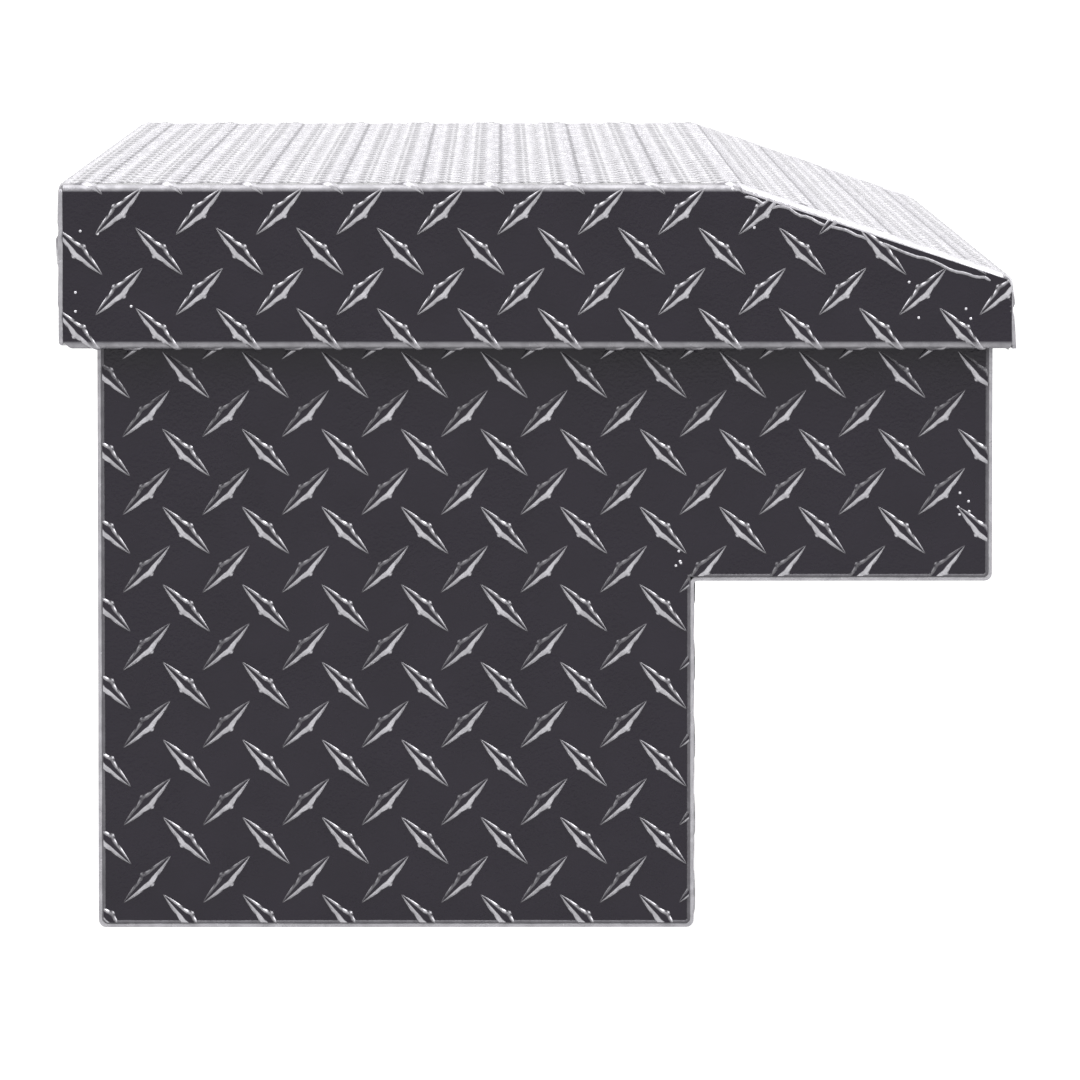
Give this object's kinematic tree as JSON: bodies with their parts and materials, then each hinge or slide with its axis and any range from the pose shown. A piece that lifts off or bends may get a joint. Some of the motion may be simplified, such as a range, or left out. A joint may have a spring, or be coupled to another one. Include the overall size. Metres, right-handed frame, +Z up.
{
  "type": "truck tool box",
  "caption": "Side-mount truck tool box of folded tread plate with a stepped tub that hooks over the bed rail and a hinged lid on gas struts.",
  "frame": {"origin": "under the middle of the lid's outline, at the height of the tub's floor", "axes": "+X towards the truck's outer side, where the ledge and the latch are; +Y along the box; +Z up"},
  "size_m": [0.371, 0.914, 0.2895],
  "materials": {
    "coat": "gloss charcoal powder coat on embossed tread plate",
    "stainless": "brushed stainless steel",
    "zinc": "zinc plated steel",
    "rubber": "matt black rubber",
    "strut_black": "black painted tube",
    "brass": "satin"
  },
  "bodies": {
    "tub": {"tub_wrapper": "coat", "tub_end_near": "coat", "tub_end_far": "coat", "weather_seal": "rubber", "drain_plug": "rubber", "hinge_leaf_tub": "stainless", "hinge_pin": "stainless", "strut_foot_near": "zinc", "strut_foot_far": "zinc", "latch_tray": "stainless", "latch_gasket": "rubber", "latch_housing": "zinc", "paddle_pin": "stainless", "paddle_spring": "zinc", "rotor_pin": "stainless", "lever_pin": "stainless"},
    "lid": {"lid_shell": "coat", "lid_pan": "coat", "lid_stiffener_1": "zinc", "lid_stiffener_2": "zinc", "lid_stiffener_3": "zinc", "hinge_leaf_lid": "stainless", "striker": "zinc", "strut_bracket_near": "zinc", "strut_bracket_far": "zinc"},
    "strut_tube_near_body": {"strut_tube_near": "strut_black"},
    "strut_tube_far_body": {"strut_tube_far": "strut_black"},
    "strut_rod_near_body": {"strut_rod_near": "stainless"},
    "strut_rod_far_body": {"strut_rod_far": "stainless"},
    "paddle": {"latch_paddle": "stainless", "lock_barrel": "stainless"},
    "key_plug": {"lock_plug": "brass"},
    "claw": {"latch_rotor": "stainless"},
    "lever": {"trip_lever": "zinc"}
  },
  "joints": [
    {"name": "lid_hinge", "type": "hinge", "parent": "tub", "child": "lid", "pos_m": [-0.1753, 0, 0.2293], "axis": [0, -1, 0], "range_deg": [0, 80]},
    {"name": "strut_near_pivot", "type": "hinge", "parent": "tub", "child": "strut_tube_near_body", "pos_m": [-0.142, -0.415, 0.168], "axis": [0, -1, 0], "range_deg": [0, 72]},
    {"name": "strut_near_slide", "type": "slide", "parent": "strut_tube_near_body", "child": "strut_rod_near_body", "axis": [0.9415, 0, 0.3371], "range_m": [0, 0.083]},
    {"name": "strut_far_pivot", "type": "hinge", "parent": "tub", "child": "strut_tube_far_body", "pos_m": [-0.142, 0.415, 0.168], "axis": [0, -1, 0], "range_deg": [0, 72]},
    {"name": "strut_far_slide", "type": "slide", "parent": "strut_tube_far_body", "child": "strut_rod_far_body", "axis": [0.9415, 0, 0.3371], "range_m": [0, 0.083]},
    {"name": "paddle_pull", "type": "hinge", "parent": "tub", "child": "paddle", "pos_m": [0.1715, 0, 0.2055], "axis": [0, -1, 0], "range_deg": [0, 30], "stiffness_Nm_per_rad": 0.2, "springref_deg": -17.19},
    {"name": "key_turn", "type": "hinge", "parent": "paddle", "child": "key_plug", "pos_m": [0.1715, 0, 0.179], "axis": [1, 0, 0], "range_deg": [0, 90]},
    {"name": "claw_turn", "type": "hinge", "parent": "tub", "child": "claw", "pos_m": [0.124, 0, 0.212], "axis": [0, 1, 0], "range_deg": [0, 45], "stiffness_Nm_per_rad": 0.05, "springref_deg": -17.19},
    {"name": "lever_trip", "type": "hinge", "parent": "tub", "child": "lever", "pos_m": [0.1365, 0, 0.1845], "axis": [0, 1, 0], "range_deg": [0, 30.5]}
  ],
  "couplings": [
    {"joint": "strut_near_pivot", "follows": "lid_hinge", "ratio": 0.86783},
    {"joint": "strut_near_slide", "follows": "lid_hinge", "m_per_rad": 0.058026},
    {"joint": "strut_far_pivot", "follows": "lid_hinge", "ratio": 0.86783},
    {"joint": "strut_far_slide", "follows": "lid_hinge", "m_per_rad": 0.058026},
    {"joint": "lever_trip", "follows": "paddle_pull", "ratio": 1}
  ]
}
